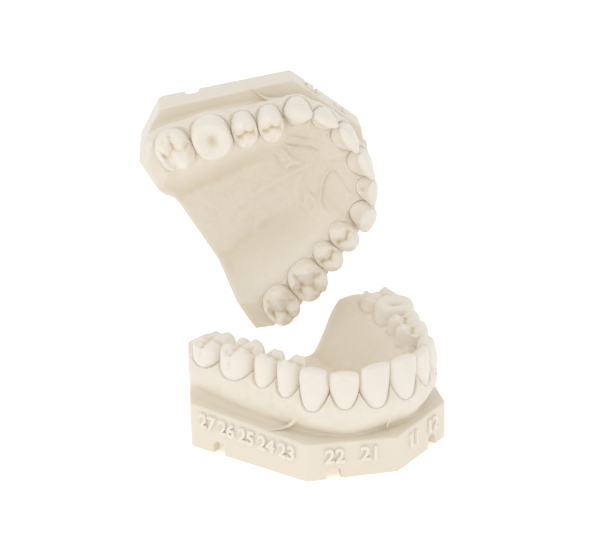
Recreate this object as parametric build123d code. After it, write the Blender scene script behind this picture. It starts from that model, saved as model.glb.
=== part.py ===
from build123d import *
import math
import os

# Pair of upper practice casts with push-fit teeth, in millimetres.
# Each cast is a hollow base, a gum and palate piece seated in it, and fourteen teeth
# whose round pegs sit in sockets in the gum. One cast stands on its foot with the teeth
# up. The other is the same cast, held tilted above and behind it.
# Cast frame: +X towards the wearer's right, +Y towards the throat, +Z from foot to teeth,
# with the foot at zero and the wearer's middle line at X = 0.

# Line of the tooth necks, seen from above: a power curve each side of the middle line
arch_half_width = 26.6
arch_depth = 39.0
arch_power = 3.4
arch_front_y = 2.7
arch_step = 0.02

# Teeth, from the middle line back. Widths run along the arch and depths across it.
# tip is the height above the foot; out moves the tooth out of the arch line; lean
# carries the biting edge outward of the neck. A front tooth's peg stands at the back of
# its neck, where the gum is thick, and any other peg stands in the middle.
TEETH = {
    1: dict(width=8.4, depth=4.8, neck_width=6.3, neck_depth=6.2, edge_width=7.4,
            edge_depth=1.6, tip=29.5, out=0.0, lean=2.3, front=True, grooves=0),
    2: dict(width=6.5, depth=4.4, neck_width=4.8, neck_depth=5.4, edge_width=5.4,
            edge_depth=1.5, tip=28.6, out=0.0, lean=2.1, front=True, grooves=0),
    3: dict(width=7.6, depth=6.4, neck_width=5.7, neck_depth=7.0, edge_width=2.4,
            edge_depth=1.8, tip=29.2, out=0.8, lean=1.3, front=True, grooves=0),
    4: dict(width=7.2, depth=9.2, neck_width=5.2, neck_depth=8.0, edge_width=4.6,
            edge_depth=6.4, tip=30.0, out=-0.9, lean=0.0, front=False, grooves=1),
    5: dict(width=7.0, depth=9.2, neck_width=5.1, neck_depth=8.0, edge_width=4.6,
            edge_depth=6.4, tip=30.0, out=-0.8, lean=0.0, front=False, grooves=1),
    6: dict(width=10.7, depth=11.2, neck_width=8.2, neck_depth=9.8, edge_width=7.8,
            edge_depth=7.8, tip=30.2, out=-0.2, lean=0.0, front=False, grooves=2),
    7: dict(width=10.0, depth=11.0, neck_width=7.8, neck_depth=9.6, edge_width=7.2,
            edge_depth=7.6, tip=29.4, out=0.0, lean=0.0, front=False, grooves=2),
}
tooth_gap = 0.2
collar_height = 1.8
widest_share = 0.5
lean_at_widest = 0.4
groove_side = 2.0

# Push-fit pegs under the crowns
peg_radius = 1.3
peg_length = 5.5
peg_clearance = 0.05
peg_shoulder = 0.2
socket_spare = 0.4
crown_seat_depth = 1.0
crown_clearance = 0.12

# Gum: height of its crest at the front, its rise towards the back, and how far its outer
# face lies outside the arch line at the seat and at the crest, in front and at the back
gum_crest_front = 18.2
gum_crest_rise = 0.085
gum_foot_out_front = -0.6
gum_foot_out_back = 4.9
gum_crest_out_front = 3.9
gum_crest_out_back = 6.2
gum_seat_clearance = 0.05

# Palate: how far its edge lies inside the arch line, and its floor heights
palate_inset = 5.6
palate_floor_front = 16.5
palate_floor_back = 10.6
palate_front_y = 9.0
palate_front_half_width = 6.0
palate_bend_y = 24.0

# Base: how far its corners lie from the teeth, its ledge height, walls and hollow
point_ahead = 5.0
front_corner_out = 5.8
front_corner_ahead = 3.4
heel_out = 8.7
rear_out = 2.4
behind_last_tooth = 4.9
heel_length = 10.7
ledge_front_height = 9.7
ledge_rise = 0.064
wall = 2.6
hollow_depth = 6.4
roof = 2.0
corner_radius = 1.8
ledge_edge_radius = 0.5

# Round-topped drain notches at the foot
notch_radius = 1.95
notch_height = 3.5
notch_from_heel = 9.2
notch_from_front_corner = 7.0

# Place of the raised cast: turned about X, then Y, then Z, then moved
raised_roll = -91.75
raised_pitch = -59.27
raised_turn = 152.57
raised_move = (34.4, 66.2, 70.6)

tall = 60.0


def arch_place(distance):
    """Point and turn of the arch line at a distance along it from the middle line."""
    x = 0.0
    y = arch_front_y
    turn = 0.0
    run = 0.0
    while run < distance:
        next_x = x + arch_step
        next_y = arch_front_y + arch_depth * (next_x / arch_half_width) ** arch_power
        run += math.hypot(next_x - x, next_y - y)
        turn = math.atan2(next_y - y, next_x - x)
        x = next_x
        y = next_y
    return x, y, turn


def off_arch(distance, out):
    """Point at a distance along the arch line, moved out of it by a length."""
    x, y, turn = arch_place(distance)
    return x + out * math.sin(turn), y - out * math.cos(turn)


def tooth_distance(number):
    """Distance along the arch line of a tooth's middle."""
    before = sum(TEETH[n]["width"] for n in range(1, number))
    return before + TEETH[number]["width"] / 2


def gum_crest(y):
    """Height of the gum's crest at a place along the cast."""
    return gum_crest_front + gum_crest_rise * y


arch_end = sum(tooth["width"] for tooth in TEETH.values())
canine_x, canine_y, canine_turn = arch_place(tooth_distance(3))
molar_x, molar_y, molar_turn = arch_place(tooth_distance(7))
end_x, end_y, end_turn = arch_place(arch_end)

rear_y = end_y + behind_last_tooth
base_corners = [
    (0, arch_front_y - point_ahead),
    (canine_x + front_corner_out, canine_y - front_corner_ahead),
    (molar_x + heel_out, rear_y - heel_length),
    (molar_x + rear_out, rear_y),
]
gum_seat_height = hollow_depth + roof


def mirrored(points):
    """Closed outline from its right half, which starts on the middle line."""
    return points + [(-x, y) for x, y in reversed(points) if x > 0]


def base_outline(inset=0.0):
    """Base outline with rounded corners, drawn in by an inset."""
    outline = Polygon(*mirrored(base_corners), align=None)
    if inset:
        return offset(outline, -inset, kind=Kind.INTERSECTION)
    return fillet(outline.vertices(), corner_radius)


def below_slope(front_height, rise):
    """Everything under a plane that rises towards the back."""
    block = Box(2 * tall, 4 * tall, 2 * tall, align=(Align.CENTER, Align.CENTER, Align.MAX))
    return Pos(0, 0, front_height) * Rot(X=math.degrees(math.atan(rise))) * block


def gum_outline(out_front, out_back, height):
    """Outline of the gum's outer face at one height, open behind the last tooth."""
    half = []
    for part in (0.0, 0.16, 0.3, 0.42, 0.56, 0.72, 0.88, 1.0):
        eased = part * part * (3 - 2 * part)
        half.append(off_arch(part * arch_end, out_front + (out_back - out_front) * eased))
    half[0] = (0, half[0][1])
    points = [(-x, y) for x, y in reversed(half[1:])] + half
    last_x, last_y = half[-1]
    back_x = last_x + (tall - last_y) / math.tan(end_turn)
    with BuildSketch(Plane.XY.offset(height)) as sketch:
        with BuildLine():
            Spline(*points)
            Polyline(points[-1], (back_x, tall), (-back_x, tall), points[0])
        make_face()
    return sketch.sketch


def drain_notch(corner, other, distance):
    """Cutter for one notch through the wall between two base corners."""
    length = math.dist(corner, other)
    share = distance / length
    x = corner[0] + (other[0] - corner[0]) * share
    y = corner[1] + (other[1] - corner[1]) * share
    turn = math.degrees(math.atan2(other[1] - corner[1], other[0] - corner[0]))
    straight = notch_height - notch_radius
    slot = Box(2 * notch_radius, 4 * wall, straight, align=(Align.CENTER, Align.CENTER, Align.MIN))
    arch = Pos(0, 0, straight) * Rot(X=90) * Cylinder(notch_radius, 4 * wall)
    return Pos(x, y, 0) * Rot(Z=turn) * (slot + arch)


def make_base():
    """Hollow base with a sloping ledge, a seat for the gum and drain notches."""
    solid = extrude(base_outline(), tall) & below_slope(ledge_front_height, ledge_rise)
    rim = solid.edges().filter_by(lambda edge: edge.center().Z > ledge_front_height - 1)
    rim = rim.filter_by(lambda edge: abs(edge.tangent_at(0.5).Z) < 0.5)
    solid = fillet(rim, ledge_edge_radius)
    solid -= extrude(base_outline(wall), hollow_depth)
    seat = gum_outline(gum_foot_out_front + gum_seat_clearance,
                       gum_foot_out_back + gum_seat_clearance, gum_seat_height)
    solid -= extrude(seat, tall)
    point, front_corner, heel, rear = base_corners
    for side in (1, -1):
        here = [(side * x, y) for x, y in (point, front_corner, heel)]
        solid -= drain_notch(here[2], here[1], notch_from_heel)
        solid -= drain_notch(here[1], here[0], notch_from_front_corner)
    return solid


def palate_section(y, half_width, floor):
    """Ellipse across the cast that bounds the palate at one place."""
    crest = gum_crest(y)
    plane = Plane(origin=(0, y, crest), x_dir=(1, 0, 0), z_dir=(0, -1, 0))
    return plane * Ellipse(half_width, crest - floor)


def arch_half_width_at(y):
    """Half width of the arch line at a place along the cast."""
    return arch_half_width * ((y - arch_front_y) / arch_depth) ** (1 / arch_power)


def make_palate_space():
    """Space between the tooth rows, from behind the front teeth to past the back."""
    middle_y = (palate_front_y + palate_bend_y) / 2
    middle_floor = palate_floor_front * 0.35 + palate_floor_back * 0.65
    back_y = rear_y + wall
    sections = [
        palate_section(palate_front_y, palate_front_half_width, palate_floor_front),
        palate_section(middle_y, arch_half_width_at(middle_y) - palate_inset, middle_floor),
        palate_section(palate_bend_y, arch_half_width_at(palate_bend_y) - palate_inset,
                       palate_floor_back),
        palate_section(back_y, arch_half_width_at(back_y) - palate_inset, palate_floor_back),
    ]
    return loft(sections)


def tooth_place(number, side):
    """Place of a tooth's neck, with local X along the arch and local Y outward."""
    tooth = TEETH[number]
    x, y = off_arch(tooth_distance(number), tooth["out"])
    turn = math.degrees(arch_place(tooth_distance(number))[2])
    seat = gum_crest(y) - crown_seat_depth
    if side > 0:
        return Pos(x, y, seat) * Rot(Z=turn) * Rot(Z=180)
    return Pos(-x, y, seat) * Rot(Z=-turn) * Rot(Z=180)


def peg_place(tooth):
    """Place of a tooth's peg under its neck."""
    if not tooth["front"]:
        return Pos(0, 0, 0)
    return Pos(0, peg_radius + peg_shoulder - tooth["neck_depth"] / 2, 0)


def crown_section(width, depth, height, outward, growth=0.0):
    """One level of a crown: a rectangle with round corners."""
    radius = 0.48 * min(width, depth) + growth
    face = RectangleRounded(width + 2 * growth, depth + 2 * growth, radius)
    return Pos(0, outward, height) * face


def make_tooth(number, side):
    """Crown with a straight collar and a round peg under it."""
    tooth = TEETH[number]
    place = tooth_place(number, side)
    crown_height = tooth["tip"] - place.position.Z
    widest = collar_height + (crown_height - collar_height) * widest_share
    levels = [
        crown_section(tooth["neck_width"], tooth["neck_depth"], 0, 0),
        crown_section(tooth["neck_width"], tooth["neck_depth"], collar_height, 0),
        crown_section(tooth["width"] - tooth_gap, tooth["depth"], widest,
                      tooth["lean"] * lean_at_widest),
        crown_section(tooth["edge_width"], tooth["edge_depth"], crown_height, tooth["lean"]),
    ]
    solid = loft(levels, ruled=True)
    groove = Rot(X=45) * Box(2 * tooth["width"], groove_side, groove_side)
    for count in range(tooth["grooves"]):
        solid -= Pos(0, 0, crown_height) * Rot(Z=90 * count) * groove
    peg = Cylinder(peg_radius, peg_length, align=(Align.CENTER, Align.CENTER, Align.MAX))
    return place * (solid + peg_place(tooth) * peg)


def make_socket(number, side):
    """Cutter for one tooth's peg hole and the shallow seat of its crown."""
    tooth = TEETH[number]
    depth = peg_length + socket_spare
    hole = Cylinder(peg_radius + peg_clearance, depth,
                    align=(Align.CENTER, Align.CENTER, Align.MAX))
    seat = crown_section(tooth["neck_width"], tooth["neck_depth"], 0, 0, crown_clearance)
    cutter = extrude(seat, 3 * collar_height) + peg_place(tooth) * hole
    return tooth_place(number, side) * cutter


def make_gum():
    """Gum ridge and palate in one piece, with a socket for each tooth."""
    low = gum_outline(gum_foot_out_front, gum_foot_out_back, gum_seat_height)
    high = gum_outline(gum_crest_out_front, gum_crest_out_back, gum_crest(rear_y))
    flared = loft([low, high], ruled=True) & below_slope(gum_crest_front, gum_crest_rise)
    under_ledge = below_slope(ledge_front_height, ledge_rise)
    solid = flared - under_ledge + (extrude(low, tall) & under_ledge)
    solid &= extrude(base_outline(), tall)
    solid -= make_palate_space()
    for number in TEETH:
        for side in (1, -1):
            solid -= make_socket(number, side)
    return solid


def make_cast():
    """All the pieces of one cast, by name, in the cast frame."""
    pieces = {"base": make_base(), "gum_and_palate": make_gum()}
    for number in TEETH:
        pieces[f"tooth_1{number}"] = make_tooth(number, 1)
        pieces[f"tooth_2{number}"] = make_tooth(number, -1)
    return pieces


raised_place = Pos(*raised_move) * Rot(Z=raised_turn) * Rot(Y=raised_pitch) * Rot(X=raised_roll)


def make_pair():
    """Both casts, with the origin under the middle of the pair's box."""
    cast = make_cast()
    pieces = {f"standing_{name}": shape for name, shape in cast.items()}
    pieces.update({f"raised_{name}": raised_place * shape for name, shape in cast.items()})
    box = Compound([solid for shape in pieces.values() for solid in shape.solids()]).bounding_box()
    centre = Pos(-box.center().X, -box.center().Y, -box.min.Z)
    return {name: centre * shape for name, shape in pieces.items()}


os.makedirs("parts", exist_ok=True)
for name, shape in make_pair().items():
    export_step(shape, f"parts/{name}.step")
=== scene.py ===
import math

import bmesh
import bpy
import numpy as np
from bpy.props import FloatProperty
from bpy.props import FloatVectorProperty
from bpy.props import IntProperty
from bpy.props import PointerProperty
from mathutils import Matrix
from mathutils import Vector
from mathutils import noise


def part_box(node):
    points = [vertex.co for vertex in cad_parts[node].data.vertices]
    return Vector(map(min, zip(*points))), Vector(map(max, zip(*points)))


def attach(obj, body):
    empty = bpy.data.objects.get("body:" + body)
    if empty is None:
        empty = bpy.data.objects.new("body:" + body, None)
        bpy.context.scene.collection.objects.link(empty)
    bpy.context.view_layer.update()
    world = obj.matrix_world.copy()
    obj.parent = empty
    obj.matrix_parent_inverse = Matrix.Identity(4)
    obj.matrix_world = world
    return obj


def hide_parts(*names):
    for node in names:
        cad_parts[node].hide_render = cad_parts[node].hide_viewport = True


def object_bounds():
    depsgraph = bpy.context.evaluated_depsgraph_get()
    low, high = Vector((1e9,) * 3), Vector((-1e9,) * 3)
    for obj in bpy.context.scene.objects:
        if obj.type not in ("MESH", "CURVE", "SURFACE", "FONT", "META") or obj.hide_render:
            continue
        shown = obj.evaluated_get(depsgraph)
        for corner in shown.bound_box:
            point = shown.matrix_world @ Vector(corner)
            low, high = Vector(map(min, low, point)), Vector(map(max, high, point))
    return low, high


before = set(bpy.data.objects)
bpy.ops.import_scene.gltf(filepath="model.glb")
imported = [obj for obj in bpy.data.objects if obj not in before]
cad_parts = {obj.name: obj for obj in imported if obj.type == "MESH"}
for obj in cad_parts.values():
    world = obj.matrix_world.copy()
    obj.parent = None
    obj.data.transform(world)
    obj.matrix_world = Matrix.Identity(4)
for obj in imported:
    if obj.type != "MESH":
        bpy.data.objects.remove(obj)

bl_info = {
    "name": "Practice cast pair",
    "version": (1, 0, 0),
    "blender": (4, 5, 0),
    "location": "3D View > Sidebar > Casts",
    "description": "Pair of upper practice casts with push-fit teeth",
    "category": "Add Mesh",
}

CAD_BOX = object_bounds()
CASTS = ("standing", "raised")
SIDES = (1, -1)
MM = 0.001

# Line of the tooth necks, in millimetres, in the cast's own frame: X to the wearer's right,
# Y to the throat, Z from the foot to the teeth
ARCH_HALF_WIDTH = 26.6
ARCH_DEPTH = 39.0
ARCH_POWER = 3.4
ARCH_FRONT_Y = 2.7
ARCH_STEP = 0.01
ARCH_REACH = 33.0

TOOTH_WIDTHS = (8.4, 6.5, 7.6, 7.2, 7.0, 10.7, 10.0)
TOOTH_GAP = 0.2
TEETH = {
    1: {"depth": 4.8, "neck": (6.3, 6.2), "tip": 29.5, "out": 0.0},
    2: {"depth": 4.4, "neck": (4.8, 5.4), "tip": 28.6, "out": 0.0},
    3: {"depth": 6.4, "neck": (5.7, 7.0), "tip": 29.2, "out": 0.8},
    4: {"depth": 9.2, "neck": (5.2, 8.0), "tip": 30.0, "out": -0.9},
    5: {"depth": 9.2, "neck": (5.1, 8.0), "tip": 30.0, "out": -0.8},
    6: {"depth": 11.2, "neck": (8.2, 9.8), "tip": 30.2, "out": -0.2},
    7: {"depth": 11.0, "neck": (7.8, 9.6), "tip": 29.4, "out": 0.0},
}
FRONT_TEETH = (1, 2, 3)

PEG_RADIUS = 1.3
PEG_LENGTH = 5.5
PEG_SHOULDER = 0.2
PEG_CLEARANCE = 0.05
SOCKET_SPARE = 0.4
CROWN_CLEARANCE = 0.02
SEAT_DEPTH = 1.0
CREST_FRONT = 18.2
CREST_RISE = 0.085

# Base, as the casting frame has it
GUM_SEAT_HEIGHT = 8.4
LEDGE_FRONT = 9.7
LEDGE_RISE = 0.064
POINT_AHEAD = 5.0
FRONT_CORNER_OUT = 5.8
FRONT_CORNER_AHEAD = 3.4
HEEL_OUT = 8.7
REAR_OUT = 2.4
BEHIND_LAST_TOOTH = 4.9
HEEL_LENGTH = 10.7

RAISED_MOVE = (34.4, 66.2, 70.6)
RAISED_ROLL = -91.75
RAISED_PITCH = -59.27
RAISED_TURN = 152.57

ARCH_X = np.arange(0.0, ARCH_REACH, ARCH_STEP)
ARCH_Y = ARCH_FRONT_Y + ARCH_DEPTH * (ARCH_X / ARCH_HALF_WIDTH) ** ARCH_POWER
ARCH_RUN = np.concatenate([[0.0], np.cumsum(np.hypot(np.diff(ARCH_X), np.diff(ARCH_Y)))])
TOOTH_EDGES = np.concatenate([[0.0], np.cumsum(TOOTH_WIDTHS)])
TOOTH_MIDDLES = (TOOTH_EDGES[:-1] + TOOTH_EDGES[1:]) / 2
ARCH_END = float(TOOTH_EDGES[-1])


def between(x, places, values):
    """Smooth curve through a few values, flat where they turn."""
    places = np.asarray(places, float)
    values = np.asarray(values, float)
    steps = np.diff(places)
    slopes = np.diff(values) / steps
    middle = np.where(slopes[:-1] * slopes[1:] > 0, (slopes[:-1] + slopes[1:]) / 2, 0.0)
    ends = np.concatenate([[slopes[0]], middle, [slopes[-1]]])
    at = np.clip(np.searchsorted(places, x) - 1, 0, len(steps) - 1)
    t = np.clip((x - places[at]) / steps[at], 0.0, 1.0)
    rising = 3 * t**2 - 2 * t**3
    bend_in = (t**3 - 2 * t**2 + t) * steps[at] * ends[at]
    bend_out = (t**3 - t**2) * steps[at] * ends[at + 1]
    return values[at] * (1 - rising) + values[at + 1] * rising + bend_in + bend_out


def bell(x, middle, width):
    """Bump of height one round a middle."""
    return np.exp(-(((x - middle) / width) ** 2))


def ease(x):
    """Rises from 0 to 1 with no corner at either end."""
    x = np.clip(x, 0.0, 1.0)
    return x * x * (3 - 2 * x)


def arch(run):
    """Points of the arch line, and its outward direction, at signed runs from the middle."""
    side = np.where(run < 0, -1.0, 1.0)
    x = np.interp(np.abs(run), ARCH_RUN, ARCH_X)
    y = np.interp(np.abs(run), ARCH_RUN, ARCH_Y)
    slope = ARCH_DEPTH * ARCH_POWER / ARCH_HALF_WIDTH * (x / ARCH_HALF_WIDTH) ** (ARCH_POWER - 1)
    turn = np.arctan(slope)
    return x * side, y, np.sin(turn) * side, -np.cos(turn)


def crest(y):
    """Height of the socket line along the cast."""
    return CREST_FRONT + CREST_RISE * y


def tooth_frame(number, side):
    """Middle of a tooth's neck, its directions away from the midline and outward."""
    middle = TOOTH_MIDDLES[number - 1]
    x, y, out_x, out_y = (float(value) for value in arch(np.array(side * middle)))
    out = TEETH[number]["out"]
    place = np.array([x + out * out_x, y + out * out_y])
    outward = np.array([out_x, out_y])
    away = np.array([-out_y * side, out_x * side])
    return place, away, outward


def seat_height(number):
    """Height of the floor of a tooth's pocket."""
    place, away, outward = tooth_frame(number, 1)
    return crest(place[1]) - SEAT_DEPTH


def rear_y():
    """Back face of the cast."""
    return float(np.interp(ARCH_END, ARCH_RUN, ARCH_Y)) + BEHIND_LAST_TOOTH


def base_corners():
    """Right half of the base outline, from the point in front to the back corner."""
    canine_x, canine_y = (float(v) for v in arch(np.array(TOOTH_MIDDLES[2]))[:2])
    molar_x = float(arch(np.array(TOOTH_MIDDLES[6]))[0])
    back = rear_y()
    return [
        (0.0, ARCH_FRONT_Y - POINT_AHEAD),
        (canine_x + FRONT_CORNER_OUT, canine_y - FRONT_CORNER_AHEAD),
        (molar_x + HEEL_OUT, back - HEEL_LENGTH),
        (molar_x + REAR_OUT, back),
    ]


def cast_matrix(cast):
    """Turns a cast's own millimetres into the shared frame's metres."""
    low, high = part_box("standing_base")
    corner = Vector(((low.x + high.x) / 2, high.y - rear_y() * MM, low.z))
    placed = Matrix.Translation(corner) @ Matrix.Scale(MM, 4)
    if cast == "standing":
        return placed
    turn = Matrix.Rotation(math.radians(RAISED_TURN), 4, "Z")
    turn = turn @ Matrix.Rotation(math.radians(RAISED_PITCH), 4, "Y")
    turn = turn @ Matrix.Rotation(math.radians(RAISED_ROLL), 4, "X")
    return placed @ Matrix.Translation(Vector(RAISED_MOVE)) @ turn


# Crowns -----------------------------------------------------------------------------------

# Levels of each crown: share of its height, width, depth, shift outward and squareness
CENTRAL_LEVELS = (
    (0.00, 6.3, 6.05, 0.075, 2.0),
    (0.15, 7.2, 6.45, 0.225, 2.1),
    (0.38, 7.95, 6.65, 0.275, 2.1),
    (0.60, 8.28, 4.8, 0.98, 2.2),
    (0.76, 8.34, 3.6, 1.30, 2.3),
    (0.86, 8.20, 2.9, 1.42, 2.5),
)
LATERAL_LEVELS = (
    (0.00, 4.8, 5.25, 0.025, 2.0),
    (0.15, 5.8, 5.65, 0.175, 2.0),
    (0.40, 6.9, 5.90, 0.25, 2.1),
    (0.60, 7.4, 4.5, 0.80, 2.1),
    (0.74, 7.5, 3.4, 1.05, 2.2),
    (0.84, 7.3, 2.8, 1.20, 2.4),
)
CANINE_LEVELS = (
    (0.00, 5.7, 6.8, 0.00, 2.0),
    (0.15, 6.5, 7.2, 0.15, 2.0),
    (0.42, 7.4, 7.3, 0.15, 2.1),
    (0.56, 7.55, 6.1, 0.50, 2.1),
    (0.68, 7.2, 4.8, 0.80, 2.2),
)
WORN_CANINE_LEVELS = CANINE_LEVELS[:-1] + (
    (0.72, 7.4, 4.8, 0.90, 2.4),
    (0.84, 7.1, 4.0, 1.05, 2.5),
)
PREMOLAR_LEVELS = (
    (0.00, 5.0, 7.8, 0.00, 2.1),
    (0.12, 5.4, 8.2, 0.00, 2.1),
    (0.30, 6.4, 9.0, 0.00, 2.2),
    (0.46, 6.9, 9.0, 0.05, 2.1),
    (0.58, 6.9, 8.8, 0.08, 2.2),
)
FIRST_MOLAR_LEVELS = (
    (0.00, 8.0, 9.6, 0.00, 2.4),
    (0.12, 8.5, 10.2, 0.00, 2.4),
    (0.30, 9.8, 11.2, 0.00, 2.5),
    (0.46, 10.5, 11.0, 0.05, 2.4),
    (0.56, 10.4, 10.85, 0.05, 2.4),
)
SECOND_MOLAR_LEVELS = (
    (0.00, 7.6, 9.4, 0.00, 2.4),
    (0.12, 8.1, 10.0, 0.00, 2.4),
    (0.30, 9.3, 11.0, 0.00, 2.4),
    (0.46, 9.8, 10.8, 0.05, 2.3),
    (0.56, 9.7, 10.65, 0.05, 2.4),
)

# Cusps: place away from the midline and outward, drop below the tip, and the fall per
# millimetre along the ridge to the crown's middle and across it
PREMOLAR_CUSPS = (
    (0.1, 2.45, 0.0, 1.02, 0.78),
    (-0.4, -2.4, 0.4, 0.96, 0.78),
)
FIRST_MOLAR_CUSPS = (
    (-2.6, 3.0, 0.15, 0.80, 0.92),
    (2.4, 2.85, 0.35, 0.80, 0.92),
    (-1.7, -2.7, 0.0, 0.66, 0.86),
    (3.1, -3.2, 0.8, 0.78, 0.92),
)
SECOND_MOLAR_CUSPS = (
    (-2.4, 2.9, 0.15, 0.80, 0.94),
    (2.1, 2.7, 0.5, 0.82, 0.94),
    (-1.3, -2.6, 0.0, 0.66, 0.86),
    (2.8, -2.9, 1.1, 0.78, 0.92),
)
CUSP_ROUND = 0.45
CUSP_BLEND = 0.08
GROOVE_WINDING = 0.32
RIM_PLACE = 0.80
RIM_FALL = 0.85
DOME_OVER = 1.20
LABIAL_ROUND = 0.65
WRINKLE = 0.45

CROWNS = {
    1: {"levels": CENTRAL_LEVELS, "dome": 0.42, "edge": 0.9, "taper": 0.30, "fossa": 0.55},
    2: {"levels": LATERAL_LEVELS, "dome": 0.50, "edge": 0.9, "taper": 0.30, "fossa": 0.50},
    3: {"levels": CANINE_LEVELS, "dome": 0.80, "taper": 0.26, "fossa": 0.45, "lean": -0.9},
    4: {"levels": PREMOLAR_LEVELS, "dome": 0.66, "taper": 0.14, "cusps": PREMOLAR_CUSPS,
        "rim": 2.4},
    5: {"levels": PREMOLAR_LEVELS, "dome": 0.66, "taper": 0.08, "cusps": PREMOLAR_CUSPS,
        "rim": 2.3},
    6: {"levels": FIRST_MOLAR_LEVELS, "dome": 0.64, "skew": 0.06, "cusps": FIRST_MOLAR_CUSPS,
        "rim": 2.3, "groove": 0.45},
    7: {"levels": SECOND_MOLAR_LEVELS, "dome": 0.64, "skew": 0.08, "cusps": SECOND_MOLAR_CUSPS,
        "rim": 2.2, "groove": 0.40},
}


def crown_design(number, side):
    """Shape of one crown: the common design, or that of a worn, smooth or pitted tooth."""
    design = dict(CROWNS[number])
    if (number, side) == (3, -1):
        design.update(levels=WORN_CANINE_LEVELS, dome=0.45, edge=0.8, lean=-0.3)
    if (number, side) == (6, 1):
        design.update(bowl=0.65, groove=0.0, dome=0.50)
    if number == 2:
        design.update(pit=0.9)
    return design


def cusp_table(design, u, v, share, reach, tip):
    """Height of a chewing surface: cusps with ridges, grooves between them and a rim."""
    heights = [tip - design["rim"] - RIM_FALL * np.abs(share - RIM_PLACE) * reach]
    v = v + GROOVE_WINDING * np.sin(1.7 * u + tip)
    for cusp_u, cusp_v, drop, along, across in design["cusps"]:
        length = math.hypot(cusp_u, cusp_v)
        to_u = -cusp_u / length
        to_v = -cusp_v / length
        run = (u - cusp_u) * to_u + (v - cusp_v) * to_v
        off = (v - cusp_v) * to_u - (u - cusp_u) * to_v
        fall = np.sqrt((along * run) ** 2 + (across * off) ** 2 + CUSP_ROUND**2) - CUSP_ROUND
        heights.append(tip - drop - fall)
    heights = np.array(heights)
    wrinkle = np.array([noise.noise(Vector((pu * 0.75, pv * 0.75, tip))) for pu, pv in zip(u, v)])
    heights[1:] += WRINKLE * wrinkle
    top = heights.max(axis=0)
    blend = CUSP_BLEND
    return top + blend * np.log(np.exp((heights - top) / blend).sum(axis=0))


def lower_of(a, b, blend):
    """Smooth lower envelope of two heights."""
    low = np.minimum(a, b)
    return low - blend * np.log(np.exp((low - a) / blend) + np.exp((low - b) / blend))


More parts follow.
